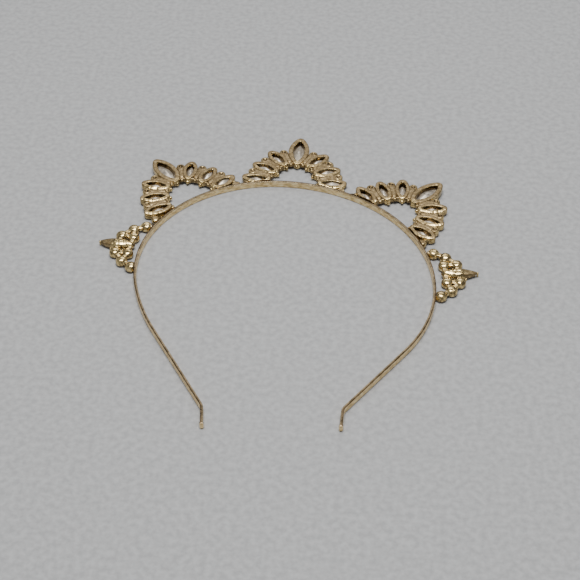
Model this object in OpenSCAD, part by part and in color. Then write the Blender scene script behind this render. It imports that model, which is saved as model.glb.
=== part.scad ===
// Mini crown headband, lying on its front on a table as it rests by itself.
// X runs from temple to temple, +Y from the leg tips to the crown, Z up. The backs of the
// ornaments face up. All sizes in mm.

/* [Band] */
// height of the band strip, which stands on its edge
band_height = 3.0; // [2:0.1:3.4]
// thickness of the band strip
band_thickness = 1.2; // [0.8:0.1:2]
// length of the strip from its top to the tip of the right leg
right_length = 193.6; // [170:0.1:220]
// length of the strip from its top to the tip of the left leg
left_length = 189; // [165:0.1:215]
// diameter of the rounded bead that closes each leg tip
tip_bead = 1.6; // [1.4:0.1:3]

/* [Crown ornaments] */
// distance from an ornament's gauge line to its highest point
fan_reach = 28; // [24:0.5:32]
// depth of an ornament from the floor to its flat back
cast_depth = 3.8; // [3.4:0.1:5]
// length of the large marquise setting
large_length = 19.4; // [17:0.1:21]
// width of the large marquise setting
large_width = 9.6; // [8:0.1:10.4]
// length of a smaller marquise setting
leaf_length = 13.4; // [12:0.1:15]
// width of a smaller marquise setting
leaf_width = 6.8; // [6:0.1:7.4]
// diameter of the round cups between the marquise settings
bump_width = 4.0; // [3:0.1:4.4]
// diameter of the two feet that meet the band
foot_width = 3.8; // [3:0.1:4.6]
// diameter of the small beads in the notches between the settings' inner ends
bead_width = 1.8; // [1.4:0.1:2.2]

/* [Side sprays] */
// distance from a spray's gauge line to its outer tip
side_reach = 18; // [16:0.5:20]
// length of the marquise cup
side_length = 15.4; // [13:0.1:16]
// width of the marquise cup
side_width = 5.4; // [4.6:0.1:6]
// diameter of the round cups
cup_width = 5.0; // [4.4:0.1:5.6]

/* [Stones and claws] */
// metal left around a marquise stone at each tip of its setting
stone_rim = 1.8; // [1.4:0.1:2.4]
// metal left around the open back of a marquise setting at each tip
open_rim = 2.4; // [2.2:0.1:3.2]
// diameter of a claw
claw_width = 0.9; // [0.7:0.1:1.1]
// height of the stones' flat tables above the floor
table_height = 0.45; // [0.3:0.05:0.6]

/* [Hidden] */
$fn = 48;
gold = [0.80, 0.66, 0.44];
glass = [0.86, 0.89, 0.92];
stone_gap = 0.08;
ledge_gap = 0.15;
seat_gap = 0.06;
past = 1;

// Runs of the strip from its top to a leg tip: share of the side's length, turn in degrees.
right_runs = [[0.2420, 38.2], [0.3045, 52.0], [0.2006, 35.2], [0.2026, 0], [0.0131, -33.7], [0.0372, 0]];
left_runs = [[0.2582, 47.9], [0.2915, 56.0], [0.1563, 17.4], [0.2401, 0], [0.0131, -25.5], [0.0408, 0]];
turn_step = 4;
half_band = band_thickness / 2;

// Place of each ornament: side of the band, share of that side's length, distance outward from
// the strip's middle line as a share of the width of the castings that hang over it there,
// extra turn in degrees.
center_seat = [1, 0.0265, 0.5724, -2.0];
left_seat = [-1, 0.2199, 0.7288, 1.1];
right_seat = [1, 0.2829, 0.5888, -1.9];
side_right_seat = [1, 0.4962, 0.2628, 1.7];
side_left_seat = [-1, 0.4264, 0.1512, -3.3];

// Smaller marquise settings of an ornament from the top down: share of the reach sideways,
// share of the reach upward, lean in degrees.
leaf_rows = [[0.325, 0.439, 43], [0.500, 0.187, 64], [0.611, -0.089, 82]];
// Round cups between them, as shares of the reach.
bump_rows = [[0.246, 0.602], [0.528, 0.389], [0.696, 0.097]];
// Web behind the settings: outer side going down, then inner side going up.
web_rows = [[0, 0.55], [0.246, 0.604], [0.529, 0.389], [0.696, 0.097], [0.720, -0.080],
    [0.430, -0.110], [0.345, 0.110], [0.205, 0.305], [0, 0.360]];
large_row = [0, 1 - large_length / 2 / fan_reach, 0];
// Small beads in the notches between the settings' inner ends, as shares of the reach.
bead_rows = [[0.096, 0.336], [0.261, 0.204], [0.379, -0.007]];
foot_row = [0.761, -0.246];
stem_reach = -0.42;
inner_stem = [0.395, -0.128];
stem_width = 1.6;

// Round cups of a spray, as shares of its reach.
cup_rows = [[0.733, 0.028], [0.572, 0.294], [0.294, 0.222], [0.306, 0.522]];
side_row = [0, 1 - (side_length / 2 + claw_width * 0.6) / side_reach, 0];
bar_width = 2.4;
bar_low = 1;
bar_high = 2.8;

// Steps between heights, up from the stones' tables and down from the flat backs.
rim_step = 0.35;
crown_height = 0.60;
girdle_height = 0.25;
ledge_step = 0.45;
web_step = 0.8;
claw_step = 0.5;
web_drop = 0.35;
cup_drop = 0.2;
foot_drop = 0.6;
bead_drop = 0.7;
stem_drop = 0.8;
hook_drop = 1.4;
pavilion = 1.5;
claw_chamfer = 0.2;

// Heights above the floor.
rim_low = table_height + rim_step;
girdle_low = table_height + crown_height;
girdle_high = girdle_low + girdle_height;
ledge_height = girdle_high + ledge_step;
web_low = rim_low + web_step;
web_high = cast_depth - web_drop;
bump_top = cast_depth - cup_drop;
foot_top = cast_depth - foot_drop;
stem_top = cast_depth - stem_drop;
bead_top = cast_depth - bead_drop;
cup_top = cast_depth - cup_drop;
claw_top = rim_low + claw_step;
hook_top = cast_depth - hook_drop;

// How far the domed backs rise over their cups.
bump_rise = 0.5;
foot_rise = 0.7;
bead_rise = 0.6;
cup_rise = 1.6;
keel_rise = 1.7;
dimple_width = 1.5;
dimple_depth = 0.7;

// Claws: places along a stone as shares of its half length, and their distance from its tips.
// Beside a stone they follow its width, which tapers with the square of the place.
large_claws = [-0.45, 0.45];
leaf_claws = [0];
claw_gap = 0.1;
marquise_taper = 0.8;

// Shapes of the settings and stones.
end_share = 0.22;
leaf_end_share = 0.28;
open_share = 0.56;
leaf_open_share = 0.43;
open_end = 0.45;
stone_share = 0.74;
blend = 0.04;
round_rim = 0.5;
table_share = 0.55;
culet_share = 0.16;
flat_share = 0.7;
facets_a_side = 6;

// Point and heading reached after a run of the given length and turn.
function run_end(p, h, l, t) = abs(t) < 0.01
    ? p + l * [cos(h), -sin(h)]
    : p + l * 180 / PI / t * [sin(h + t) - sin(h), cos(h + t) - cos(h)];
function walk(runs, total, s, i = 0, p = [0, 0], h = 0) =
    let (l = runs[i][0] * total, t = runs[i][1])
    (s <= l + 0.000001 || i == len(runs) - 1)
        ? [run_end(p, h, s, t * s / l), h + t * s / l]
        : walk(runs, total, s - l, i + 1, run_end(p, h, l, t), h + t);
function runs_of(side) = side > 0 ? right_runs : left_runs;
function length_of(side) = side > 0 ? right_length : left_length;
// Place on the band: point and lean of its outward normal.
function on_band(side, s, out) = let (w = walk(runs_of(side), length_of(side), s))
    [side * (w[0][0] + out * sin(w[1])), w[0][1] + out * cos(w[1]), side * w[1]];
function seat(q, width) = on_band(q[0], q[1] * length_of(q[0]), q[2] * width) + [0, 0, q[3]];
// Point of an ornament's own frame, seen from the top of the band.
function from_seat(q, width, u, v) = let (s = seat(q, width))
    [s[0] + u * cos(s[2]) + v * sin(s[2]), s[1] - u * sin(s[2]) + v * cos(s[2])];

// Stations along one side, closer together where the strip turns more.
function before(runs, i) = i == 0 ? 0 : before(runs, i - 1) + runs[i - 1][0];
function stations(runs, total) = concat([for (i = [0 : len(runs) - 1])
    let (n = max(1, ceil(abs(runs[i][1]) / turn_step)))
    for (k = [0 : n - 1]) (before(runs, i) + runs[i][0] * k / n) * total], [total]);
function edge(side, out) = [for (s = stations(runs_of(side), length_of(side)))
    let (p = on_band(side, s, out)) [p[0], p[1]]];
function flipped(list) = [for (i = [len(list) - 1 : -1 : 0]) list[i]];
function tail(list) = [for (i = [1 : len(list) - 1]) list[i]];
function arch(out) = concat(flipped(tail(edge(-1, out))), edge(1, out));

// The outer reach in each direction, which brings the middle of the whole to the origin.
leg_left = on_band(-1, left_length, 0);
leg_right = on_band(1, right_length, 0);
large_end = large_width * end_share;
crown_tip = from_seat(center_seat, leaf_width, 0, fan_reach - large_end)[1] + large_end;
leg_tip = min(leg_left[1], leg_right[1]) - tip_bead / 2;
claw_radius = claw_width / 2;
left_tip = from_seat(side_left_seat, cup_width, 0, side_reach - claw_radius)[0] - claw_radius;
right_tip = from_seat(side_right_seat, cup_width, 0, side_reach - claw_radius)[0] + claw_radius;
top_point = [-(left_tip + right_tip) / 2, -(crown_tip + leg_tip) / 2];

module up(z) {
    translate([0, 0, z]) children();
}

module at_seat(q, width) {
    s = seat(q, width);
    translate([top_point[0] + s[0], top_point[1] + s[1], 0]) rotate([0, 0, -s[2]]) children();
}

module at_row(row, unit, flip = 1) {
    translate([flip * row[0] * unit, row[1] * unit, 0]) rotate([0, 0, -flip * row[2]]) children();
}

// Marquise outline with rounded ends: two wide arcs and two small ones.
module marquise_plan(l, w, r) {
    c = l / 2 - r;
    wide = (w * w / 4 + c * c - r * r) / (w - 2 * r);
    off = wide - w / 2;
    cut = wide * c / (wide - r);
    intersection() {
        translate([-off, 0]) circle(r = wide, $fn = 96);
        translate([off, 0]) circle(r = wide, $fn = 96);
        square([w + past, 2 * cut], center = true);
    }
    translate([0, c]) circle(r = r + blend);
    translate([0, -c]) circle(r = r + blend);
}

module bar_plan(a, b, w) {
    d = b - a;
    translate(a) rotate(atan2(d[1], d[0])) translate([0, -w / 2]) square([norm(d), w]);
}

// Everything inside the band's outer face, which trims what is soldered onto it and the few
// stones that reach it.
module inside_band() {
    translate([top_point[0], top_point[1], -past]) linear_extrude(cast_depth + 2 * past)
        polygon(arch(half_band + seat_gap));
}

module band() {
    color(gold) {
        translate([top_point[0], top_point[1], 0]) {
            linear_extrude(band_height) polygon(concat(arch(half_band), flipped(arch(-half_band))));
            translate([leg_left[0], leg_left[1], 0]) cylinder(d = tip_bead, h = band_height);
            translate([leg_right[0], leg_right[1], 0]) cylinder(d = tip_bead, h = band_height);
        }
    }
}

// Claw standing on the floor, its foot chamfered.
module claw(top = claw_top) {
    foot = claw_radius - claw_chamfer;
    rotate_extrude($fn = 24)
        polygon([[0, 0], [foot, 0], [claw_radius, claw_chamfer], [claw_radius, top], [0, top]]);
}

// Claws of a marquise setting: one past each stone tip, and pairs along its sides, where each
// place is a share of the stone's half length.
module claws(l, w, places) {
    half_length = l / 2 - stone_rim;
    half_width = stone_share * w / 2 + stone_gap;
    for (e = [-1, 1]) translate([0, e * (half_length + stone_gap + claw_radius + claw_gap), 0]) claw();
    for (k = places, e = [-1, 1]) {
        beside = half_width * (1 - k * k * marquise_taper) + claw_radius;
        translate([e * beside, k * half_length, 0]) claw();
    }
}

// Height of the ledge behind a stone in an open-backed setting: there the stone's back has
// narrowed enough to clear the opening, which is this share of the setting's width.
function open_ledge(w, share) = girdle_high
    + pavilion * (1 - (share * w - 2 * ledge_gap) / (stone_share * w)) / (1 - culet_share);

// Room in a marquise setting for its stone, from the front up to its ledge.
module stone_room(l, w, ledge) {
    up(-past) linear_extrude(ledge + past)
        marquise_plan(l - 2 * stone_rim + 2 * stone_gap, stone_share * w + 2 * stone_gap, open_end);
}

// Domed cup with its closed back up.
module cup(d, rise, top) {
    ball = (d * d / 4 + rise * rise) / 2 / rise;
    intersection() {
        up(rim_low) cylinder(d = d, h = top);
        up(top - ball) sphere(r = ball, $fn = 96);
    }
}

module settings_plan() {
    at_row(large_row, fan_reach) marquise_plan(large_length, large_width, large_end);
    for (row = leaf_rows, flip = [-1, 1])
        at_row(row, fan_reach, flip) marquise_plan(leaf_length, leaf_width, leaf_width * leaf_end_share);
}

module openings_plan() {
    at_row(large_row, fan_reach)
        marquise_plan(large_length - 2 * open_rim, open_share * large_width, open_end);
    for (row = leaf_rows, flip = [-1, 1]) at_row(row, fan_reach, flip)
        marquise_plan(leaf_length - 2 * open_rim, leaf_open_share * leaf_width, open_end);
}

module web_plan() {
    points = concat(web_rows, [for (i = [len(web_rows) - 2 : -1 : 1]) [-web_rows[i][0], web_rows[i][1]]]);
    polygon(points * fan_reach);
}

module stems_plan() {
    for (flip = [-1, 1]) {
        bar_plan([flip * foot_row[0], leaf_rows[2][1]] * fan_reach,
            [flip * foot_row[0], stem_reach] * fan_reach, stem_width);
        bar_plan([flip * inner_stem[0], inner_stem[1]] * fan_reach,
            [flip * inner_stem[0], stem_reach] * fan_reach, stem_width);
    }
}

// One crown ornament in its own frame, back up.
module fan_metal() {
    difference() {
        union() {
            up(rim_low) linear_extrude(cast_depth - rim_low) settings_plan();
            up(web_low) linear_extrude(web_high - web_low) web_plan();
            up(bar_low) linear_extrude(stem_top - bar_low) stems_plan();
            for (row = bump_rows, flip = [-1, 1])
                translate([flip * row[0], row[1], 0] * fan_reach) cup(bump_width, bump_rise, bump_top);
            for (row = bead_rows, flip = [-1, 1])
                translate([flip * row[0], row[1], 0] * fan_reach) cup(bead_width, bead_rise, bead_top);
            for (flip = [-1, 1]) translate([flip * foot_row[0], foot_row[1], 0] * fan_reach)
                cup(foot_width, foot_rise, foot_top);
        }
        up(-past) linear_extrude(cast_depth + 2 * past) openings_plan();
        at_row(large_row, fan_reach)
            stone_room(large_length, large_width, open_ledge(large_width, open_share));
        for (row = leaf_rows, flip = [-1, 1]) at_row(row, fan_reach, flip)
            stone_room(leaf_length, leaf_width, open_ledge(leaf_width, leaf_open_share));
        for (row = bump_rows, flip = [-1, 1])
            translate([flip * row[0], row[1], 0] * fan_reach) {
                up(-past) cylinder(d = bump_width - 2 * round_rim + 2 * stone_gap, h = girdle_high + past);
                up(bump_top - dimple_depth) cylinder(d = dimple_width, h = dimple_depth + past, $fn = 24);
            }
    }
    at_row(large_row, fan_reach) claws(large_length, large_width, large_claws);
    for (row = leaf_rows, flip = [-1, 1])
        at_row(row, fan_reach, flip) claws(leaf_length, leaf_width, leaf_claws);
}

module fan_at(q) {
    color(gold) difference() {
        at_seat(q, leaf_width) fan_metal();
        inside_band();
    }
}

module crown_center() {
    fan_at(center_seat);
}

module crown_left() {
    fan_at(left_seat);
}

module crown_right() {
    fan_at(right_seat);
}

module bars_plan() {
    inner = [0, cup_rows[2][1]];
    outer = [0, cup_rows[3][1]];
    for (flip = [-1, 1]) {
        c = [for (row = cup_rows) [flip * row[0], row[1]] * side_reach];
        bar_plan(c[0], c[1], bar_width);
        bar_plan(c[1], c[2], bar_width);
        bar_plan(c[1], c[3], bar_width);
        bar_plan(c[2], c[3], bar_width);
        bar_plan(c[2], inner * side_reach, bar_width);
        bar_plan(c[3], outer * side_reach, bar_width);
        bar_plan(c[0], [c[0][0], stem_reach * side_reach], bar_width);
    }
}

// Marquise cup with its back closed and keeled.
module keel_cup() {
    rise = keel_rise;
    across = (side_width * side_width / 4 + rise * rise) / 2 / rise;
    along = (side_length * side_length / 4 + rise * rise) / 2 / rise;
    intersection() {
        up(rim_low) linear_extrude(cast_depth)
            marquise_plan(side_length, side_width, side_width * end_share);
        up(cast_depth - across) rotate([90, 0, 0])
            cylinder(r = across, h = side_length + past, center = true, $fn = 96);
        up(cast_depth - along) rotate([0, 90, 0])
            cylinder(r = along, h = side_width + past, center = true, $fn = 96);
    }
}

// One side spray in its own frame, back up.
module side_metal() {
    difference() {
        union() {
            at_row(side_row, side_reach) keel_cup();
            for (row = cup_rows, flip = [-1, 1])
                translate([flip * row[0], row[1], 0] * side_reach) cup(cup_width, cup_rise, cup_top);
            up(bar_low) linear_extrude(bar_high - bar_low) bars_plan();
        }
        at_row(side_row, side_reach) stone_room(side_length, side_width, ledge_height);
        for (row = cup_rows, flip = [-1, 1])
            translate([flip * row[0], row[1], -past / side_reach] * side_reach)
                cylinder(d = cup_width - 2 * round_rim + 2 * stone_gap, h = girdle_high + past);
    }
    at_row(side_row, side_reach) claws(side_length, side_width, large_claws);
    translate([0, side_reach - claw_radius, 0]) claw(hook_top);
}

module spray_at(q) {
    color(gold) difference() {
        at_seat(q, cup_width) side_metal();
        inside_band();
    }
}

module side_left() {
    spray_at(side_left_seat);
}

module side_right() {
    spray_at(side_right_seat);
}

// Outline of a cut marquise stone: two arcs through its tips, in straight facets.
function marquise_ring(l, w) = let (
    big = (l * l / 4 + w * w / 4) / w,
    half = asin(l / 2 / big))
    concat([for (k = [0 : facets_a_side - 1]) let (a = half - 2 * half * k / facets_a_side)
            [big * cos(a) - (big - w / 2), big * sin(a)]],
        [for (k = [0 : facets_a_side - 1]) let (a = half - 2 * half * k / facets_a_side)
            [(big - w / 2) - big * cos(a), -big * sin(a)]]);
function round_ring(d, n) = [for (k = [0 : n - 1]) d / 2 * [cos(-360 * k / n), sin(-360 * k / n)]];

// Stone cut from a ring of points: levels are pairs of height and share of the outline.
module cut_stone(ring, levels) {
    n = len(ring);
    m = len(levels);
    points = [for (v = levels, p = ring) [p[0] * v[1], p[1] * v[1], v[0]]];
    faces = concat([[for (i = [n - 1 : -1 : 0]) i]],
        [for (j = [0 : m - 2], i = [0 : n - 1])
            [j * n + i, j * n + (i + 1) % n, (j + 1) * n + (i + 1) % n, (j + 1) * n + i]],
        [[for (i = [0 : n - 1]) (m - 1) * n + i]]);
    polyhedron(points, faces);
}

module marquise_stone(l, w) {
    cut_stone(marquise_ring(l - 2 * stone_rim, stone_share * w),
        [[table_height, table_share], [girdle_low, 1], [girdle_high, 1],
            [girdle_high + pavilion, culet_share]]);
}

// Marquise stone of a closed cup, flat at the back.
module flat_marquise(l, w) {
    cut_stone(marquise_ring(l - 2 * stone_rim, stone_share * w),
        [[table_height, table_share], [girdle_low, 1], [girdle_high, 1],
            [ledge_height - stone_gap, flat_share]]);
}

module round_stone(d) {
    cut_stone(round_ring(d - 2 * round_rim, 8),
        [[table_height, table_share], [girdle_low, 1], [girdle_high - stone_gap, 1]]);
}

// Marquise stone of an ornament, counted from its left end.
module fan_stone(q, i) {
    k = i - 4;
    color(glass) difference() {
        at_seat(q, leaf_width) {
            if (k == 0) at_row(large_row, fan_reach) marquise_stone(large_length, large_width);
            if (k != 0) at_row(leaf_rows[abs(k) - 1], fan_reach, sign(k))
                marquise_stone(leaf_length, leaf_width);
        }
        inside_band();
    }
}

module fan_rounds(q) {
    color(glass) at_seat(q, leaf_width)
        for (row = bump_rows, flip = [-1, 1])
            translate([flip * row[0], row[1], 0] * fan_reach) round_stone(bump_width);
}

module side_rounds(q) {
    color(glass) difference() {
        at_seat(q, cup_width)
            for (row = cup_rows, flip = [-1, 1])
                translate([flip * row[0], row[1], 0] * side_reach) round_stone(cup_width);
        inside_band();
    }
}

module side_stone(q) {
    color(glass) at_seat(q, cup_width) at_row(side_row, side_reach) flat_marquise(side_length, side_width);
}

module marquise_center_1() {
    fan_stone(center_seat, 1);
}

module marquise_center_2() {
    fan_stone(center_seat, 2);
}

module marquise_center_3() {
    fan_stone(center_seat, 3);
}

module marquise_center_4() {
    fan_stone(center_seat, 4);
}

module marquise_center_5() {
    fan_stone(center_seat, 5);
}

module marquise_center_6() {
    fan_stone(center_seat, 6);
}

module marquise_center_7() {
    fan_stone(center_seat, 7);
}

module marquise_left_1() {
    fan_stone(left_seat, 1);
}

module marquise_left_2() {
    fan_stone(left_seat, 2);
}

module marquise_left_3() {
    fan_stone(left_seat, 3);
}

module marquise_left_4() {
    fan_stone(left_seat, 4);
}

module marquise_left_5() {
    fan_stone(left_seat, 5);
}

module marquise_left_6() {
    fan_stone(left_seat, 6);
}

module marquise_left_7() {
    fan_stone(left_seat, 7);
}

module marquise_right_1() {
    fan_stone(right_seat, 1);
}

module marquise_right_2() {
    fan_stone(right_seat, 2);
}

module marquise_right_3() {
    fan_stone(right_seat, 3);
}

module marquise_right_4() {
    fan_stone(right_seat, 4);
}

module marquise_right_5() {
    fan_stone(right_seat, 5);
}

module marquise_right_6() {
    fan_stone(right_seat, 6);
}

module marquise_right_7() {
    fan_stone(right_seat, 7);
}

module marquise_side_left() {
    side_stone(side_left_seat);
}

module marquise_side_right() {
    side_stone(side_right_seat);
}

module rounds_center() {
    fan_rounds(center_seat);
}

module rounds_left() {
    fan_rounds(left_seat);
}

module rounds_right() {
    fan_rounds(right_seat);
}

module rounds_side_left() {
    side_rounds(side_left_seat);
}

module rounds_side_right() {
    side_rounds(side_right_seat);
}

band();
crown_center();
crown_left();
crown_right();
side_left();
side_right();
marquise_center_1();
marquise_center_2();
marquise_center_3();
marquise_center_4();
marquise_center_5();
marquise_center_6();
marquise_center_7();
marquise_left_1();
marquise_left_2();
marquise_left_3();
marquise_left_4();
marquise_left_5();
marquise_left_6();
marquise_left_7();
marquise_right_1();
marquise_right_2();
marquise_right_3();
marquise_right_4();
marquise_right_5();
marquise_right_6();
marquise_right_7();
marquise_side_left();
marquise_side_right();
rounds_center();
rounds_left();
rounds_right();
rounds_side_left();
rounds_side_right();
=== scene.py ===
# %% [markdown]
# # A mini crown headband, seen from the back
# A springy metal strip carries three fan-shaped crown ornaments and a small spray at each temple.
# The headband lies on its front, so the render shows the open backs of its stone settings.
# Each step below makes one kind of part. The shapes are numpy arrays first and meshes second,
# because a casting with soft edges is easier to steer by a few outlines than by hand modelling.

# %% Load the solids that everything is fitted to
import math
import bpy
import numpy as np
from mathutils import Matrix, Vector


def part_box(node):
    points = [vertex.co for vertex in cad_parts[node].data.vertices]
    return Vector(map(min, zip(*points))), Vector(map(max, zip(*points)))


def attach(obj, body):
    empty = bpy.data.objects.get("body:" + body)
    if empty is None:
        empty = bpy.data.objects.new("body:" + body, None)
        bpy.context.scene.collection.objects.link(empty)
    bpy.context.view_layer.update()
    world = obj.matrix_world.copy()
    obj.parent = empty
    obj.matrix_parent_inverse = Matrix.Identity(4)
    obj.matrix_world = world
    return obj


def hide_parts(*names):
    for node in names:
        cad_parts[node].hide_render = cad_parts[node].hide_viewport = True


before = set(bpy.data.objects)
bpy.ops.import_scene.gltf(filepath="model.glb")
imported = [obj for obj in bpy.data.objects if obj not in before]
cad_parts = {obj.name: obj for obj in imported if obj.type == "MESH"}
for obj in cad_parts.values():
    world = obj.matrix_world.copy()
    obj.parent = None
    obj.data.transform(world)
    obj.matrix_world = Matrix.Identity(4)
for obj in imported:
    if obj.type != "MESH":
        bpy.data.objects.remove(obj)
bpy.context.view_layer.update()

# %% [markdown]
# ## From outlines to meshes
# Nearly every part here is a stack of closed outlines, one above the other. Bridging one outline to
# the next gives the skin. A stack can end in a point at both ends, as a cup does, or run back into
# its own start, as a ring does. One could model each part by hand and bevel it, but then seven
# settings of two sizes would be seven edits each time a rim changes.

# %% Stack outlines into closed skins
def skin(rings, loop=False):
    """Bridges each ring of an array (rings, points, 3) to the next. With loop the last ring meets the
    first, otherwise both ends close in a fan around the ring's middle."""
    m, n = rings.shape[:2]
    i, j = np.meshgrid(np.arange(m if loop else m - 1), np.arange(n), indexing="ij")
    above, beside = (i + 1) % m, (j + 1) % n
    quads = np.stack([i * n + j, i * n + beside, above * n + beside, above * n + j], -1).reshape(-1, 4)
    points = rings.reshape(-1, 3)
    faces = quads.tolist()
    if not loop:
        k = np.arange(n)
        ends = np.stack([rings[0].mean(0), rings[-1].mean(0)])
        first = np.stack([(k + 1) % n, k, np.full(n, m * n)], -1)
        last = np.stack([(m - 1) * n + k, (m - 1) * n + (k + 1) % n, np.full(n, m * n + 1)], -1)
        points = np.concatenate([points, ends])
        faces += first.tolist() + last.tolist()
    return points, faces


def volume(points, faces):
    """Signed volume: the sum over triangles of a . (b x c) / 6, which is positive when faces point out."""
    tri = np.array([(f[0], f[k], f[k + 1]) for f in faces for k in range(1, len(f) - 1)])
    a, b, c = points[tri[:, 0]], points[tri[:, 1]], points[tri[:, 2]]
    return float(np.einsum("ij,ij->i", a, np.cross(b, c)).sum() / 6)


def outward(part):
    """Turns the faces of a part over if its signed volume is negative, so that its skin faces out."""
    points, faces = part[:2]
    flip = volume(points, faces) < 0
    return (points, [f[::-1] for f in faces] if flip else faces) + tuple(part[2:])


def build(name, parts, material, replaces=()):
    """Joins parts of (points in mm, faces, a polish value per point, which above 1 is painted shade)
    into one mesh that rides on the headband.
    """
    parts = [outward(p) for p in parts]
    starts = np.cumsum([0] + [len(p[0]) for p in parts])
    points = np.concatenate([p[0] for p in parts]) / 1000
    faces = [tuple(int(v) + int(s) for v in f) for p, s in zip(parts, starts) for f in p[1]]
    shine_and_shade = np.concatenate([np.broadcast_to(p[2] if len(p) > 2 else 1.0, len(p[0])) for p in parts])
    mesh = bpy.data.meshes.new(name)
    mesh.from_pydata(points.tolist(), [], faces)
    mesh.attributes.new("shine_and_shade", "FLOAT", "POINT").data.foreach_set("value", shine_and_shade.astype(np.float32))
    mesh.polygons.foreach_set("use_smooth", [True] * len(mesh.polygons))
    mesh.materials.append(material)
    piece = bpy.data.objects.new(name, mesh)
    bpy.context.scene.collection.objects.link(piece)
    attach(piece, "root")
    if replaces:
        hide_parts(*replaces)
    print(name, "has", len(points), "points in", len(parts), "parts")
    return piece

# %% [markdown]
# ## Gold plating
# The castings are thinly plated: matt and sandy on the flat backs, polished on the walls. One node
# tree can do both, if each point of the mesh says how polished it is. Past 1 that number paints
# shade instead: a dark brown in deep cups, walls and dimples. Small noise in the colour, the
# roughness and the bump keeps the metal from looking like plastic.

# %% Make the metals
def noise(nodes, links, place, scale, detail=3.0):
    """Cloudy noise between 0 and 1. The scale counts its clouds per metre."""
    tex = nodes.new("ShaderNodeTexNoise")
    tex.inputs["Scale"].default_value = scale
    tex.inputs["Detail"].default_value = detail
    links.new(place, tex.inputs["Vector"])
    return tex.outputs["Fac"]


def ramp(nodes, links, value, stops):
    """Colours or greys at chosen places between 0 and 1."""
    node = nodes.new("ShaderNodeValToRGB")
    band = node.color_ramp
    while len(band.elements) < len(stops):
        band.elements.new(0.5)
    for element, (at, colour) in zip(band.elements, stops):
        element.position = at
        element.color = (*colour, 1.0) if len(colour) == 3 else colour
    links.new(value, node.inputs["Fac"])
    return node.outputs["Color"]


def mix(nodes, links, factor, a, b):
    """a * (1 - factor) + b * factor, for colours."""
    node = nodes.new("ShaderNodeMix")
    node.data_type = "RGBA"
    links.new(factor, node.inputs[0])
    links.new(a, node.inputs[6])
    links.new(b, node.inputs[7])
    return node.outputs[2]


# The painted shade: browns for deep cups, walls and dimples, where little light gets in.
painted_shade_browns = [(0.40, (0.048, 0.029, 0.014)), (0.62, (0.12, 0.076, 0.040))]
dent_scale, dent_depth = 520.0, 3.0


def gold(name, matt, polished, rough_matt, rough_polished, patch, grain, depth, stretch=1.0):
    """Plated metal: matt colours where the polish value is 0, polished ones where it is 1, and from
    there to 2 it darkens to a painted shade brown, for deep cups, walls and dimples where little
    light gets in. Patch and grain are the scales of the coarse and the fine noise, and depth is the
    bump's height in metres. A stretch below 1 draws the noise out along the table, which gives the
    streaks of a rolled strip."""
    made = bpy.data.materials.new(name)
    made.use_nodes = True
    nodes, links = made.node_tree.nodes, made.node_tree.links
    shader = nodes["Principled BSDF"]
    squeeze = nodes.new("ShaderNodeMapping")
    squeeze.inputs["Scale"].default_value = (stretch, stretch, 1.0)
    links.new(nodes.new("ShaderNodeTexCoord").outputs["Object"], squeeze.inputs["Vector"])
    place = squeeze.outputs["Vector"]
    shine_and_shade = nodes.new("ShaderNodeAttribute")
    shine_and_shade.attribute_name = "shine_and_shade"
    patches = noise(nodes, links, place, patch)
    fine = noise(nodes, links, place, grain, 5.0)
    dull = ramp(nodes, links, patches, [(0.36, matt[0]), (0.52, matt[1]), (0.68, matt[2])])
    bright = ramp(nodes, links, patches, [(0.38, polished[0]), (0.64, polished[1])])
    # Above 1 the polish value mixes in the painted shade brown.
    shade_share = nodes.new("ShaderNodeMath")
    shade_share.operation, shade_share.use_clamp = "SUBTRACT", True
    shade_share.inputs[1].default_value = 1.0
    links.new(shine_and_shade.outputs["Fac"], shade_share.inputs[0])
    painted_shade = ramp(nodes, links, patches, painted_shade_browns)
    plated = mix(nodes, links, shine_and_shade.outputs["Fac"], dull, bright)
    links.new(mix(nodes, links, shade_share.outputs[0], plated, painted_shade), shader.inputs["Base Color"])
    low, high = [(v, v, v) for v in rough_matt], [(v, v, v) for v in rough_polished]
    rough = mix(nodes, links, shine_and_shade.outputs["Fac"],
                ramp(nodes, links, fine, [(0.35, low[0]), (0.65, low[1])]),
                ramp(nodes, links, fine, [(0.35, high[0]), (0.65, high[1])]))
    links.new(rough, shader.inputs["Roughness"])
    dents = nodes.new("ShaderNodeBump")
    dents.inputs["Strength"].default_value = 0.5
    dents.inputs["Distance"].default_value = dent_depth * depth
    links.new(noise(nodes, links, place, dent_scale, 1.0), dents.inputs["Height"])
    bump = nodes.new("ShaderNodeBump")
    bump.inputs["Strength"].default_value = 0.6
    bump.inputs["Distance"].default_value = depth
    links.new(fine, bump.inputs["Height"])
    links.new(dents.outputs["Normal"], bump.inputs["Normal"])
    links.new(bump.outputs["Normal"], shader.inputs["Normal"])
    shader.inputs["Metallic"].default_value = 1.0
    return made


cast_gold = gold("cast gold",
                 matt=[(0.20, 0.142, 0.070), (0.275, 0.201, 0.106), (0.38, 0.287, 0.160)],
                 polished=[(0.27, 0.195, 0.090), (0.98, 0.755, 0.36)],
                 rough_matt=(0.38, 0.54), rough_polished=(0.08, 0.19),
                 patch=800.0, grain=1500.0, depth=0.00013)
# On the strip the polished colours are dark browns, used only on its painted darker edges.
strip_gold = gold("strip gold",
                  matt=[(0.58, 0.42, 0.19), (0.90, 0.68, 0.35), (1.0, 0.88, 0.54)],
                  polished=[(0.21, 0.165, 0.10), (0.31, 0.25, 0.155)],
                  rough_matt=(0.28, 0.46), rough_polished=(0.22, 0.36),
                  patch=1500.0, grain=1900.0, depth=0.00020, stretch=0.3)
print("metals made:", cast_gold.name, "and", strip_gold.name)

# %% [markdown]
# ## The strip's line
# The strip was bent by hand, so its two sides differ a little. Each side is a chain of runs that turn
# at a steady rate, and so the heading is a straight line of the length walked in each run.
# Adding up small steps along the heading gives the line itself.

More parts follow.
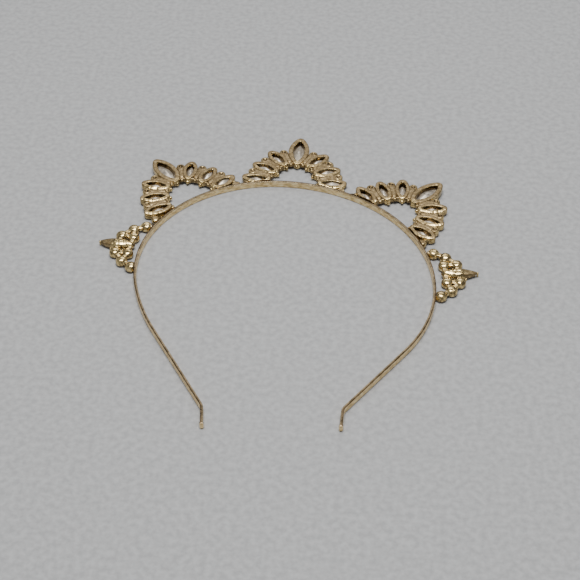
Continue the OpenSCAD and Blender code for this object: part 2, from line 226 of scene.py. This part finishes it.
# %% Walk along the strip
# All sizes are in mm. A run is its share of the side's length and its turn in degrees.
strip_height, strip_thickness, bead_width = 3.0, 1.2, 1.6
line_step = 0.1
side_length = {1: 193.6, -1: 189.0}
side_runs = {1: [(0.2420, 38.2), (0.3045, 52.0), (0.2006, 35.2), (0.2026, 0), (0.0131, -33.7), (0.0372, 0)],
             -1: [(0.2582, 47.9), (0.2915, 56.0), (0.1563, 17.4), (0.2401, 0), (0.0131, -25.5), (0.0408, 0)]}


def strip_line(side, beyond=0.0, step=line_step):
    """Points (x, y) and headings every step along one side from the top: the heading runs straight
    between the ends of the runs, and each point is the last one plus a step along the heading."""
    total = side_length[side]
    shares = np.cumsum([0.0] + [share for share, _ in side_runs[side]]) * total
    turns = np.cumsum([0.0] + [turn for _, turn in side_runs[side]])
    s = np.arange(0.0, total + beyond + step / 2, step)
    heading = np.radians(np.interp(s, shares, turns))
    middle = np.radians(np.interp(s[:-1] + step / 2, shares, turns))
    x = np.concatenate([[0.0], np.cumsum(np.cos(middle) * step)]) * side
    y = np.concatenate([[0.0], -np.cumsum(np.sin(middle) * step)])
    return s, np.stack([x, y], -1), heading


def normal(side, heading):
    """The heading turned by a quarter turn, away from the head."""
    return np.stack([side * np.sin(heading), np.cos(heading)], -1)


_, right_points, right_heading = strip_line(1)
_, left_points, left_heading = strip_line(-1)
outer_normals = np.concatenate([normal(1, right_heading), normal(-1, left_heading)])
outer_line = np.concatenate([right_points, left_points]) + outer_normals * strip_thickness / 2
band_low, band_high = (np.array(v) * 1000 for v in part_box("band"))
top_point = np.array([(band_low[0] + band_high[0] - outer_line[:, 0].min() - outer_line[:, 0].max()) / 2,
                      band_high[1] - outer_line[:, 1].max()])
outer_face = outer_line + top_point
print("top of the strip at", top_point.round(2), "mm")

# %% [markdown]
# ## The strip
# A rounded rectangle, carried along that line. Towards each tip its thickness swells into a small
# bead and then closes. A curve object with a bevel would do for the plain run, but not for the bead.

# %% Carry the section along the line
def rounded_section(half_x, half_z, corner, n=7):
    """Rounded rectangle: four quarter circles around the corners' centres."""
    turn = np.concatenate([np.linspace(k, k + 1, n) for k in range(4)]) * np.pi / 2
    sign_x, sign_z = np.repeat([1, -1, -1, 1], n), np.repeat([1, 1, -1, -1], n)
    return np.stack([sign_x * (half_x - corner) + corner * np.cos(turn),
                     sign_z * (half_z - corner) + corner * np.sin(turn)], -1)


strip_corner = 0.30


def strip_rings():
    """Sections along the whole line. Half the thickness at a tip is sqrt(b^2 - (s - total)^2) where
    that is more than the strip's own, with b half the bead's width and s the length walked. Past the
    tip the height shrinks with it, to a little over half. Every sixth step gets a section, and each
    step in the last 3 mm."""
    every, end_zone = 6, 3
    bead = bead_width / 2
    lines = []
    for side in (-1, 1):
        s, p, h = strip_line(side, beyond=bead)
        total = side_length[side]
        near_tip = s > total - end_zone
        keep = (np.arange(len(s)) % every == 0) | near_tip
        s, p, h = s[keep], p[keep], h[keep]
        round_tip = np.sqrt(np.clip(bead ** 2 - (s - total) ** 2, 0.003, None))
        half = np.where(s > total, round_tip, np.maximum(round_tip, strip_thickness / 2))
        tall = np.where(s > total, 0.55 + 0.45 * round_tip / bead, 1.0)
        lines.append((p + top_point, normal(side, h), half, tall))
    (pl, nl, hl, tl), (pr, nr, hr, tr) = lines
    p = np.concatenate([pl[:0:-1], pr])
    n = np.concatenate([nl[:0:-1], nr])
    half = np.concatenate([hl[:0:-1], hr])
    tall = np.concatenate([tl[:0:-1], tr])
    section = rounded_section(1.0, 1.0, strip_corner)
    out = section[None, :, 0] * half[:, None]
    z = strip_height / 2 * (1 + section[None, :, 1] * tall[:, None])
    xy = p[:, None, :] + n[:, None, :] * out[..., None]
    return np.concatenate([xy, z[..., None]], -1)


points, faces = skin(strip_rings())
# The two narrow edges are painted darker, the outer half of them most of all, with values that
# reach the painted shade brown. An edge begins this many mm from the middle of the strip's height,
# and blends in over a few more hundredths.
edge_begins, edge_blend = 1.30, 0.15
outward_share = np.clip(1.4 * np.resize(rounded_section(1.0, 1.0, strip_corner)[:, 0], len(points)), 0, 1)
on_edge = np.clip((np.abs(points[:, 2] - strip_height / 2) - edge_begins) / edge_blend, 0, 1)
edge = on_edge * (1.2 + 0.8 * outward_share)
build("headband_strip", [(points, faces, edge)], strip_gold, replaces=["band"])

# %% [markdown]
# ## Seats on the strip
# Each ornament has a seat: a place along the strip, how far out it stands and which way it leans.
# Every ornament is modelled once, flat and upright in its own frame, and then carried to its seat.

# %% Carry a part to its seat
def seat(side, share, out, extra):
    """The point at a share of the side's length, moved out by some mm along the normal, and its lean:
    the strip's heading there plus some extra degrees."""
    s, p, h = strip_line(side)
    i = int(round(share * side_length[side] / line_step))
    at = p[i] + normal(side, h[i]) * out + top_point
    return at, side * h[i] + math.radians(extra)


def carry(points, place):
    """Turns points (u, v, z) by the seat's lean and moves them there: x = x0 + u cos + v sin and
    y = y0 - u sin + v cos."""
    (x, y), lean = place
    u, v = points[..., 0], points[..., 1]
    return np.stack([x + u * math.cos(lean) + v * math.sin(lean),
                     y - u * math.sin(lean) + v * math.cos(lean), points[..., 2]], -1)


# How far an ornament stands out in its own frame, and its seats: side, share, mm out, extra degrees.
crown_reach, spray_reach = 28.0, 18.0
crown_seats = {"center": seat(1, 0.0265, 3.892, -2.0),
               "left": seat(-1, 0.2199, 4.956, 1.1),
               "right": seat(1, 0.2829, 4.004, -1.9)}
spray_seats = {"right": seat(1, 0.4962, 1.314, 1.7),
               "left": seat(-1, 0.4264, 0.756, -3.3)}
for name, (at, lean) in {**crown_seats, **spray_seats}.items():
    print("seat", at.round(1), "leans", round(math.degrees(lean), 1))

# %% [markdown]
# ## The marquise outline
# A marquise is two wide arcs that meet in points. On a cast setting the points are rounded off, so
# the outline has four arcs: two wide ones and two small ones that touch them without a corner.

# %% Draw the outline
def marquise(length, width, end, per_side=30, per_end=12):
    """Points around a marquise and the directions that they face. The small arcs sit c from the
    middle; the wide radius follows from the width and from touching the small arcs."""
    c = length / 2 - end
    wide = (width ** 2 / 4 + c ** 2 - end ** 2) / (width - 2 * end)
    off = wide - width / 2
    phi = math.atan2(c, off)
    a = [np.linspace(-phi, phi, per_side, endpoint=False),
         np.linspace(phi, np.pi - phi, per_end, endpoint=False)]
    a += [a[0] + np.pi, a[1] + np.pi]
    centre = np.repeat([[-off, 0], [0, c], [off, 0], [0, -c]], [per_side, per_end] * 2, axis=0)
    radius = np.repeat([wide, end, wide, end], [per_side, per_end] * 2)
    turn = np.concatenate(a)
    facing = np.stack([np.cos(turn), np.sin(turn)], -1)
    return centre + facing * radius[:, None], facing


large_size, leaf_size = (19.4, 9.6), (13.4, 6.8)
print("large outline", np.ptp(marquise(*large_size, 0.22 * large_size[1])[0], axis=0).round(2), "mm")

# %% [markdown]
# ## Open-backed settings
# From behind, each setting is a flat rim around an opening, with the stone deep inside. The wall
# goes all the way round, so the skin is a ring: up the opening, over the rim with a soft edge, down
# the outside, and back in under the stone's ledge.

# %% Loft a setting between its outlines
back = 3.8
large_opening, leaf_opening, opening_end = (14.5, 5.25), (9.2, 3.3), 0.45
stone_shorter, stone_width_share, stone_clearance = 3.6, 0.74, 0.16
cross_fall, tip_fall = 0.8, 0.4
# rows: share from the opening to the outside, height, polish; a polish above 1 is painted shade,
# dark on the opening's wall and lighter on the outer wall
rim_rows = [(-0.36, 1.80, 2.0), (-0.32, 2.20, 1.9), (-0.22, 2.65, 1.85), (-0.12, 3.05, 1.8),
            (-0.04, 3.38, 1.7), (0.00, 3.56, 1.3), (0.04, 3.68, 0.6), (0.10, 3.76, 0.1),
            (0.20, 3.80, 0.0), (0.50, 3.80, 0.0), (0.76, 3.80, 0.0), (0.86, 3.76, 0.0),
            (0.93, 3.64, 0.2), (0.98, 3.42, 0.8), (1.00, 3.10, 1.3), (1.00, 2.10, 1.4),
            (1.00, 1.40, 1.4), (0.99, 1.00, 1.4), (0.96, 0.82, 1.0)]
wall_dents = 0.05


def stone_size(size):
    """Length and width of the stone in a setting of this size."""
    return size[0] - stone_shorter, stone_width_share * size[1]


def stone_room(size):
    """Outline of the stone's room, which is the stone's outline with the clearance added."""
    length, width = stone_size(size)
    return marquise(length + stone_clearance, width + stone_clearance, opening_end)[0]


def setting(size, end_share, open_size, lean=0.0):
    """Rings from the opening (share 0) to the outside (share 1). The wall of the opening narrows
    towards the stone (shares below 0) and is a little dented, as cast walls are. Filing left one
    side of a casting that lies across lower than the other, and a little uneven: there the rim
    falls by drop * share, where drop goes with the square of how far this side faces down the
    table."""
    length, width = size
    outer, facing = marquise(length, width, width * end_share)
    inner, _ = marquise(*open_size, opening_end)
    room = stone_room(size)
    across = math.sin(lean) ** 2 if size == leaf_size else 0.0
    taper = 1.0 if size == leaf_size else 0.55
    down = np.clip(facing[:, 0] * math.sin(lean) - facing[:, 1] * math.cos(lean), 0, 1)
    tip = np.clip((-outer[:, 1] / (length / 2) - 0.90) / 0.10, 0, 1)
    inner_end = np.clip((-outer[:, 1] / (length / 2) - 0.50) / 0.3, 0, 1)
    rough = np.random.default_rng(5 + int(abs(lean) * 100))
    uneven = rough.uniform(0.25, 1.15, len(outer))
    drop = cross_fall * across * down ** 2 * (uneven + np.roll(uneven, 1)) / 2 + tip_fall * tip
    rings, polish_and_shade = [], []
    for f, z, p in rim_rows:
        dents = rough.normal(0, wall_dents if p > 1.5 else 0.0, (len(outer), 1)) * facing
        slope = drop * np.clip((f - 0.15) / 0.85, 0, 1) * np.clip((z - 1.0) / 2.0, 0, 1)
        share = f * taper if f < 0 else f
        rings.append(np.column_stack([inner + (outer - inner) * share + dents, z - slope]))
        # At the setting's inner end the outer wall gets less painted shade.
        less_shade = 0.5 * inner_end * (f > 0.95) * (p > 1.2)
        polish_and_shade.append(np.clip(p + 1.3 * drop * (f > 0.15) * (p < 1) - less_shade, 0, max(p, 1.0)))
    # The ledge under the stone gets painted shade, at 1.5.
    for f, z in ((0.25, 0.80), (0.0, 0.92), (0.0, 1.66)):
        rings.append(np.column_stack([room + (outer - room) * f, np.full(len(outer), z)]))
        polish_and_shade.append(np.full(len(outer), 1.5))
    points, faces = skin(np.array(rings), loop=True)
    return points, faces, np.concatenate(polish_and_shade)


def moved(part, u, v, lean=0.0):
    """The part turned by its own lean in degrees and moved to (u, v)."""
    return (carry(part[0], ((u, v), math.radians(lean))), *part[1:])


def mirrored(part):
    """The part with u turned into -u, and its faces turned over with it."""
    points = part[0] * [-1, 1, 1]
    return (points, [f[::-1] for f in part[1]], *part[2:])


# The small settings on one side: u, v and lean in degrees.
leaf_rows = [(9.10, 12.29, 43), (14.0, 5.24, 64), (17.11, -2.49, 82)]
large_at = (0.0, crown_reach - large_size[0] / 2)


def settings_for(lean):
    """The seven settings of an ornament that leans by this angle on the table."""
    parts = [moved(setting(large_size, 0.22, large_opening, lean), *large_at)]
    for u, v, row_lean in leaf_rows:
        for s in (1, -1):
            own = setting(leaf_size, 0.28, leaf_opening, lean + s * math.radians(row_lean))
            parts.append(moved(own, s * u, v, s * row_lean))
    return parts


# Spots just past the inner tips, where prongs will stand.
tip_spots = [(0.0, 8.9)]
for u, v, lean in leaf_rows:
    past_tip, angle = leaf_size[0] / 2 + 0.15, math.radians(lean)
    tip_spots += [(s * (u - past_tip * math.sin(angle)), v - past_tip * math.cos(angle)) for s in (1, -1)]
print("settings in one ornament:", len(settings_for(0.0)))

# %% [markdown]
# ## Round cups, webs, feet and claws
# Between neighbours sits a small round cup with a dimple in its back, and a low web joins the
# castings behind it. Beads sit in the notches along the fan's inner edge, with a thin wall from
# notch to notch. Round parts are a profile turned about an axis. Webs and walls are a soft section
# carried along a short line. The webs are wide at the cup and narrower at the notch.

# %% Turn and carry the small parts
def turned(profile, n=28, polish_and_shade=None):
    """A profile of (radius, height) turned about Z: x = r cos a, y = r sin a."""
    profile = np.array(profile, float)
    a = np.arange(n) * 2 * np.pi / n
    ring = np.stack([np.cos(a), np.sin(a)], -1)
    heights = np.broadcast_to(profile[:, 1, None, None], (len(profile), n, 1))
    rings = np.concatenate([profile[:, 0, None, None] * ring, heights], -1)
    points, faces = skin(rings)
    shine_and_shade = np.repeat(np.ones(len(profile)) if polish_and_shade is None else np.array(polish_and_shade, float), n)
    return points, faces, np.concatenate([shine_and_shade, shine_and_shade[:1], shine_and_shade[-1:]])


def bar(a, b, half_a, half_b, z_low, z_high, n=14, m=14, polish_and_shade=0.3):
    """A soft box section carried from a to b, its half width going from half_a to half_b. The
    section is |cos|^0.55 by |sin|^0.55 with their signs, and both ends close as the square root of
    1 - |2t - 1|^8, where t goes from 0 to 1 along the bar."""
    a, b = np.array(a, float), np.array(b, float)
    t = np.linspace(0, 1, n)
    close = np.sqrt(np.clip(1 - np.abs(2 * t - 1) ** 8, 0.004, 1))
    turn = np.arange(m) * 2 * np.pi / m
    soft = np.sign(np.cos(turn)) * np.abs(np.cos(turn)) ** 0.55
    tall = np.sign(np.sin(turn)) * np.abs(np.sin(turn)) ** 0.55
    along = (b - a) / np.linalg.norm(b - a)
    side = np.array([-along[1], along[0]])
    half = (half_a + (half_b - half_a) * t) * close
    xy = a + (b - a) * t[:, None, None] + side * (half[:, None] * soft)[..., None]
    z = (z_low + z_high) / 2 + (z_high - z_low) / 2 * close[:, None] * tall
    points, faces = skin(np.concatenate([xy, z[..., None]], -1))
    return points, faces, np.full(len(points), polish_and_shade)


def claw(height=1.3, r=0.45):
    """A pin with a rounded foot on the table and a rounded top."""
    profile = [(0.1, 0.0), (r * 0.55, 0.04), (r * 0.85, 0.14), (r, 0.32),
               (r, height - 0.2), (r * 0.8, height - 0.04), (0.1, height)]
    return turned(profile, n=14)


cup_rows = [(6.89, 16.86), (14.78, 10.89), (19.49, 2.72)]
notch_rows = [(2.7, 9.4), (7.3, 5.7), (10.6, -0.2)]
# The stone's room, the outer wall, the shoulder and the dimple, from the front to the back. Polish
# values above 1 paint shade on the shoulder's edge and in the dimple.
small_cup = turned([(0.1, 1.3), (1.5, 1.3), (1.58, 1.25), (1.58, 0.86),
                    (1.64, 0.8), (1.9, 0.8), (2.0, 0.95), (2.0, 2.75),
                    (1.95, 3.05), (1.84, 3.28), (1.66, 3.46), (1.40, 3.57), (1.14, 3.61),
                    (1.00, 3.54), (0.90, 3.38), (0.80, 3.20), (0.56, 3.10), (0.08, 3.08)],
                   polish_and_shade=[1] * 8 + [1.3, 1.0, 0.3, 0.0, 0.0, 0.6, 1.5, 1.8, 1.9, 1.9])
cups = [moved(small_cup, u * s, v) for u, v in cup_rows for s in (1, -1)]
webs = [bar(c, n, 1.9, 1.0, 1.4, 3.66, polish_and_shade=0.0) for c, n in zip(cup_rows, notch_rows)]
bead = turned([(0.1, 1.5), (0.6, 1.55), (0.85, 1.8), (0.9, 2.3),
               (0.84, 2.65), (0.66, 2.92), (0.4, 3.06), (0.1, 3.1)], n=18, polish_and_shade=[0.3] * 8)
webs += [moved(bead, *n) for n in notch_rows]
inner_line = [(0.6, 10.0), (2.9, 10.0), (4.9, 8.4), (7.6, 6.1), (8.8, 3.2), (11.0, 0.1), (11.4, -3.0)]
webs += [bar(a, b, 0.6, 0.6, 0.9, 3.3, polish_and_shade=0.1) for a, b in zip(inner_line, inner_line[1:])]
webs += [mirrored(w) for w in webs]
prong = turned([(0.1, 0.85), (0.5, 0.9), (0.72, 1.15), (0.76, 1.7),
                (0.70, 2.05), (0.52, 2.32), (0.28, 2.46), (0.1, 2.5)], n=18)
webs += [moved(prong, *spot) for spot in tip_spots]
print("cups", len(cups), "webs", len(webs))

# %% [markdown]
# ## The whole ornament
# Two round feet stand on the strip at the ends of the fan, with a short stem under each, and the
# inner ends of the lowest settings reach the strip with a stem as well. On the front, where the
# stones are, small claws stand around each stone. The front faces the table, so they stay plain.

# %% Put one ornament together and seat it three times
foot_at, inner_stem, seat_gap = (21.31, -6.89), (11.06, -3.58), 0.06
# The foot's side gets painted shade, with polish values of 1.3 and 1.4.
foot = turned([(0.1, 0.8), (1.7, 0.8), (1.9, 1.0), (1.9, 2.3), (1.84, 2.65),
               (1.62, 2.92), (1.2, 3.1), (0.6, 3.19), (0.1, 3.2)],
              n=32, polish_and_shade=[1, 1, 1.4, 1.4, 1.3, 0.9, 0.1, 0, 0])
feet = [moved(foot, foot_at[0] * s, foot_at[1]) for s in (1, -1)]


def stem(u, v_top, seat_place, s=1):
    """A bar from the casting down to the strip's outer face, straight under its top end. Its length
    is the nearest point of that face within half a millimetre of the ray, less the seat gap."""
    (x, y), lean = seat_place
    ray = np.array([-math.sin(lean), -math.cos(lean)])
    start = carry(np.array([u * s, v_top, 0.0]), seat_place)[:2]
    gap = outer_face - start
    across = gap @ np.array([-ray[1], ray[0]])
    ahead = gap @ ray
    ok = (ahead > 0) & (np.abs(across) < 0.5)
    depth = ahead[ok].min() if ok.any() else 4.0
    return bar((u * s, v_top), (u * s, v_top - depth + seat_gap), 0.8, 0.9, 1.2, 3.0, polish_and_shade=0.5)


def keep_off_strip(points, room=0.04):
    """Moves points that lie nearer than room to the strip's outer face out along its normal, by the
    room less their own distance. Every fifth point of the face is enough to find the nearest."""
    out = points.copy()
    near = np.linalg.norm(points[:, None, :2] - outer_face[None, ::5], axis=-1).argmin(1) * 5
    depth = ((points[:, :2] - outer_face[near]) * outer_normals[near]).sum(1)
    out[:, :2] += np.clip(room - depth, 0, 6)[:, None] * outer_normals[near]
    return out


claw_past_tip, claw_beside = 0.63, 0.47


def claws_around(size, pairs):
    """Claws past both tips of a stone and beside it, where pairs are shares k of its half length. The
    stone's room is about 1 - 0.8 k^2 of its full width there."""
    length, width = stone_size(size)
    spots = [(0, e * (length / 2 + claw_past_tip)) for e in (1, -1)]
    for k in pairs:
        beside = (width / 2 + stone_clearance / 2) * (1 - 0.8 * k * k) + claw_beside
        spots += [(e * beside, k * length / 2) for e in (1, -1)]
    return spots


pin = claw()
claws = [moved(moved(pin, *spot), *large_at) for spot in claws_around(large_size, (-0.45, 0.45))]
leaf_claws = [moved(moved(pin, *spot), *row) for row in leaf_rows for spot in claws_around(leaf_size, (0.0,))]
claws += leaf_claws + [mirrored(p) for p in leaf_claws]


def dished(points, falls):
    """Lowers the backs towards the ends of the fan: by nothing up to |u| = 8 mm, by the left or right
    fall at 18 mm and in a straight line between. Heights below 1.8 mm stay."""
    u = points[..., 0]
    fall = np.where(u < 0, falls[0], falls[1]) * np.clip((np.abs(u) - 8) / 10, 0, 1.2)
    lower = points.copy()
    lower[..., 2] -= fall * np.clip((points[..., 2] - 1.8) / 2.0, 0, 1)
    return lower


def seated(parts, place, falls=(0.0, 0.0)):
    """Parts with their backs lowered, carried to a seat and kept off the strip."""
    return [(keep_off_strip(carry(dished(p[0], falls), place)), *p[1:]) for p in parts]


end_falls = {"center": (0.6, 1.0), "left": (0.0, 1.0), "right": (0.0, 0.0)}
for name, place in crown_seats.items():
    node, falls = "crown_" + name, end_falls[name]
    stems = [stem(foot_at[0], -3.0, place, s) for s in (1, -1)]
    stems += [stem(*inner_stem, place, s) for s in (1, -1)]
    build(node + "_settings", seated(settings_for(place[1]), place, falls), cast_gold, replaces=[node])
    build(node + "_cups", seated(cups + feet, place, falls), cast_gold)
    build(node + "_webs", seated(webs + stems, place, falls), cast_gold)
    build(node + "_claws", seated(claws, place, falls), cast_gold)

# %% [markdown]
# ## The side sprays
# Their cups are closed: a keeled marquise cup points outward, with eight polished round cups around
# it. The keel is a stack of the same marquise outline, which narrows faster than it shortens.

# %% Build a spray and seat it twice
spray_size = (15.4, 5.4)
keel_at = (0.0, spray_reach - spray_size[0] / 2 - 0.54)
spray_cups = [(13.19, 0.50), (10.30, 5.29), (5.29, 4.00), (5.51, 9.40)]
# How many mm the keeled cup's lower edge rises at its tips, and how many its outer end falls.
keel_edge_rise, keel_end_fall = 1.1, 1.0


def keel(size, narrow, rise=1.7):
    """Outlines stacked up the cup. Over the shoulder the width goes as a cosine while the height
    goes as a sine, and the length shrinks half as fast. The lower edge rises towards both tips, and
    the outer end falls away, gets narrower by the given share and is left matt."""
    outer, _ = marquise(*size, size[1] * 0.22)
    room = stone_room(size)
    rows = [(room * 0.04, 1.75), (room, 1.75), (room, 0.86), (room * 0.3 + outer * 0.7, 0.80), (outer, 0.95),
            (outer, back - rise)]
    for a in np.radians(np.arange(8, 89, 8)):
        rows.append((outer * [math.cos(a), 1 - 0.42 * (1 - math.cos(a))], back - rise + rise * math.sin(a)))
    rings = np.array([np.column_stack([o, np.full(len(o), z)]) for o, z in rows])
    tips = np.clip((np.abs(outer[:, 1]) / (size[0] / 2) - 0.72) / 0.28, 0, 1)
    for k in (3, 4):
        rings[k, :, 2] += keel_edge_rise * tips
    outer_end = np.clip((outer[:, 1] / (size[0] / 2) - 0.10) / 0.90, 0, 1)
    rings[:, :, 0] *= 1 - narrow * outer_end
    rings[:, :, 2] -= keel_end_fall * outer_end ** 1.5 * np.clip((rings[:, :, 2] - 2.0) / 1.8, 0, 1)
    points, faces = skin(rings)
    dull = 1 - 0.9 * np.clip((points[:, 1] / (size[0] / 2) - 0.15) / 0.2, 0, 1)
    return points, faces, dull


# The dome's height over its radius r is dome_rise * (1 - (r / cup_radius)^2.8)^0.55.
cup_radius, dome_foot, dome_rise = 2.5, 2.0, 1.58
dome_radii = (2.5, 2.49, 2.46, 2.4, 2.3, 2.15, 1.95, 1.7, 1.4, 1.05, 0.7, 0.35)
dome = [(r, dome_foot + dome_rise * (1 - (r / cup_radius) ** 2.8) ** 0.55) for r in dome_radii]
cup_wall = [(0.1, 1.3), (2.0, 1.3), (2.08, 1.25), (2.08, 0.86), (2.14, 0.8), (2.4, 0.8),
            (cup_radius, 0.95), (cup_radius, 1.7)]
round_cup = turned(cup_wall + dome + [(0.06, dome_foot + dome_rise)], n=40)
keel_narrows = {"left": 0.08, "right": 0.36}
round_cups = [moved(round_cup, u * s, v) for u, v in spray_cups for s in (1, -1)]
bar_ends = [(spray_cups[i], spray_cups[j]) for i, j in [(0, 1), (1, 2), (1, 3), (2, 3)]]
bar_ends += [(spray_cups[2], (0, 4.0)), (spray_cups[3], (0, 9.4))]
spray_bars = [bar(a, b, 1.2, 1.2, 1.0, 2.8, polish_and_shade=0.9) for a, b in bar_ends]
spray_bars += [mirrored(b) for b in spray_bars]
spray_claws = [moved(moved(pin, *spot), *keel_at) for spot in claws_around(spray_size, (-0.45, 0.45))]
spray_claws.append(moved(claw(back - 1.4), 0, spray_reach - 0.45))

for name, place in spray_seats.items():
    node = "side_" + name
    ends = [stem(spray_cups[0][0], spray_cups[0][1] - 1.5, place, s) for s in (1, -1)]
    spray = [moved(keel(spray_size, keel_narrows[name]), *keel_at)] + round_cups
    build(node + "_cups", seated(spray, place), cast_gold, replaces=[node])
    build(node + "_bars", seated(spray_bars + ends, place), cast_gold)
    build(node + "_claws", [(carry(p[0], place), *p[1:]) for p in spray_claws], cast_gold)

# %% [markdown]
# ## The stones
# The stones are already faceted solids, so they only need their material. Such stones have a foil
# behind them, which is what shows through the open backs: a pale grey mirror, a little cloudy.

# %% Dress the stones
def cut_glass():
    """Foiled glass: mostly a mirror, blurred and tinted by one slow noise."""
    made = bpy.data.materials.new("foiled glass")
    made.use_nodes = True
    nodes, links = made.node_tree.nodes, made.node_tree.links
    shader = nodes["Principled BSDF"]
    place = nodes.new("ShaderNodeTexCoord").outputs["Object"]
    cloud = noise(nodes, links, place, 420.0)
    foil = [(0.36, (0.35, 0.31, 0.26)), (0.52, (0.49, 0.44, 0.37)), (0.66, (0.63, 0.57, 0.475))]
    blur = [(0.3, (0.34,) * 3), (0.7, (0.50,) * 3)]
    links.new(ramp(nodes, links, cloud, foil), shader.inputs["Base Color"])
    links.new(ramp(nodes, links, cloud, blur), shader.inputs["Roughness"])
    shader.inputs["Metallic"].default_value = 0.65
    shader.inputs["Coat Weight"].default_value = 0.15
    shader.inputs["Coat Roughness"].default_value = 0.06
    return made


stone_glass = cut_glass()
stones = [o for n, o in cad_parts.items() if n.startswith(("marquise_", "rounds_"))]
for stone in stones:
    stone.data.materials.clear()
    stone.data.materials.append(stone_glass)
print("stones dressed:", len(stones))

# %% [markdown]
# ## Floor, light and camera
# A plain pale floor, two soft boxes and a dim room. Polished metal only shows what it mirrors, so the
# bright boxes and the dim room between them are what makes the cups and walls sparkle.
# The camera stands where the photograph was taken: 43 degrees above the table, about 60 cm away.

# %% Set the stage
def floor_material():
    """A pale, rough surface with a faint grain."""
    made = bpy.data.materials.new("pale floor")
    made.use_nodes = True
    nodes, links = made.node_tree.nodes, made.node_tree.links
    shader = nodes["Principled BSDF"]
    place = nodes.new("ShaderNodeTexCoord").outputs["Object"]
    grain = noise(nodes, links, place, 420.0, 4.0)
    greys = [(0.35, (0.295, 0.299, 0.308)), (0.65, (0.375, 0.380, 0.391))]
    links.new(ramp(nodes, links, grain, greys), shader.inputs["Base Color"])
    shader.inputs["Roughness"].default_value = 0.7
    return made


floor_half = 4.0
floor_corners = [(-floor_half, -floor_half, 0), (floor_half, -floor_half, 0),
                 (floor_half, floor_half, 0), (-floor_half, floor_half, 0)]
floor_mesh = bpy.data.meshes.new("floor")
floor_mesh.from_pydata(floor_corners, [], [(0, 1, 2, 3)])
floor_mesh.materials.append(floor_material())
floor = bpy.data.objects.new("floor", floor_mesh)
bpy.context.scene.collection.objects.link(floor)

world = bpy.data.worlds.new("room")
bpy.context.scene.world = world
world.use_nodes = True
world.node_tree.nodes["Background"].inputs["Color"].default_value = (0.80, 0.82, 0.85, 1)
world.node_tree.nodes["Background"].inputs["Strength"].default_value = 0.37


def soft_box(name, place, target, width, height, power, tint=(1, 1, 1)):
    """A rectangular light at a place, in metres, that looks at the target."""
    light = bpy.data.lights.new(name, "AREA")
    light.shape = "RECTANGLE"
    light.size, light.size_y, light.energy, light.color = width, height, power, tint
    lamp = bpy.data.objects.new(name, light)
    bpy.context.scene.collection.objects.link(lamp)
    lamp.location = place
    aim = np.array(target, float) - np.array(place, float)
    lamp.rotation_euler = Vector(aim).to_track_quat("-Z", "Y").to_euler()
    return lamp


soft_box("overhead box", (0.0, 0.0, 1.1), (0, 0, 0), width=0.62, height=0.46, power=16.5,
         tint=(1.0, 0.985, 0.95))
soft_box("back box", (-0.05, 1.15, 0.95), (0, 0, 0), width=0.9, height=0.5, power=3.4,
         tint=(1.0, 0.99, 0.97))

elevation, distance, turn = math.radians(43.0), 0.600, math.radians(4.0)
aim_beside, aim_below = 8.24, 68.1
sensor_width, focal_share = 36.0, 1440 / 580
aim_at = np.array([top_point[0] + aim_beside, top_point[1] - aim_below, 0.0]) / 1000
direction = np.array([math.cos(elevation) * math.sin(turn), -math.cos(elevation) * math.cos(turn),
                      math.sin(elevation)])
camera = bpy.data.objects.new("camera", bpy.data.cameras.new("camera"))
bpy.context.scene.collection.objects.link(camera)
camera.data.sensor_fit = "HORIZONTAL"
camera.data.sensor_width = sensor_width
camera.data.lens = sensor_width * focal_share
camera.location = aim_at + direction * distance
camera.rotation_euler = Vector(-direction).to_track_quat("-Z", "Y").to_euler()
bpy.context.scene.camera = camera
print("camera at", [round(v, 3) for v in camera.location])
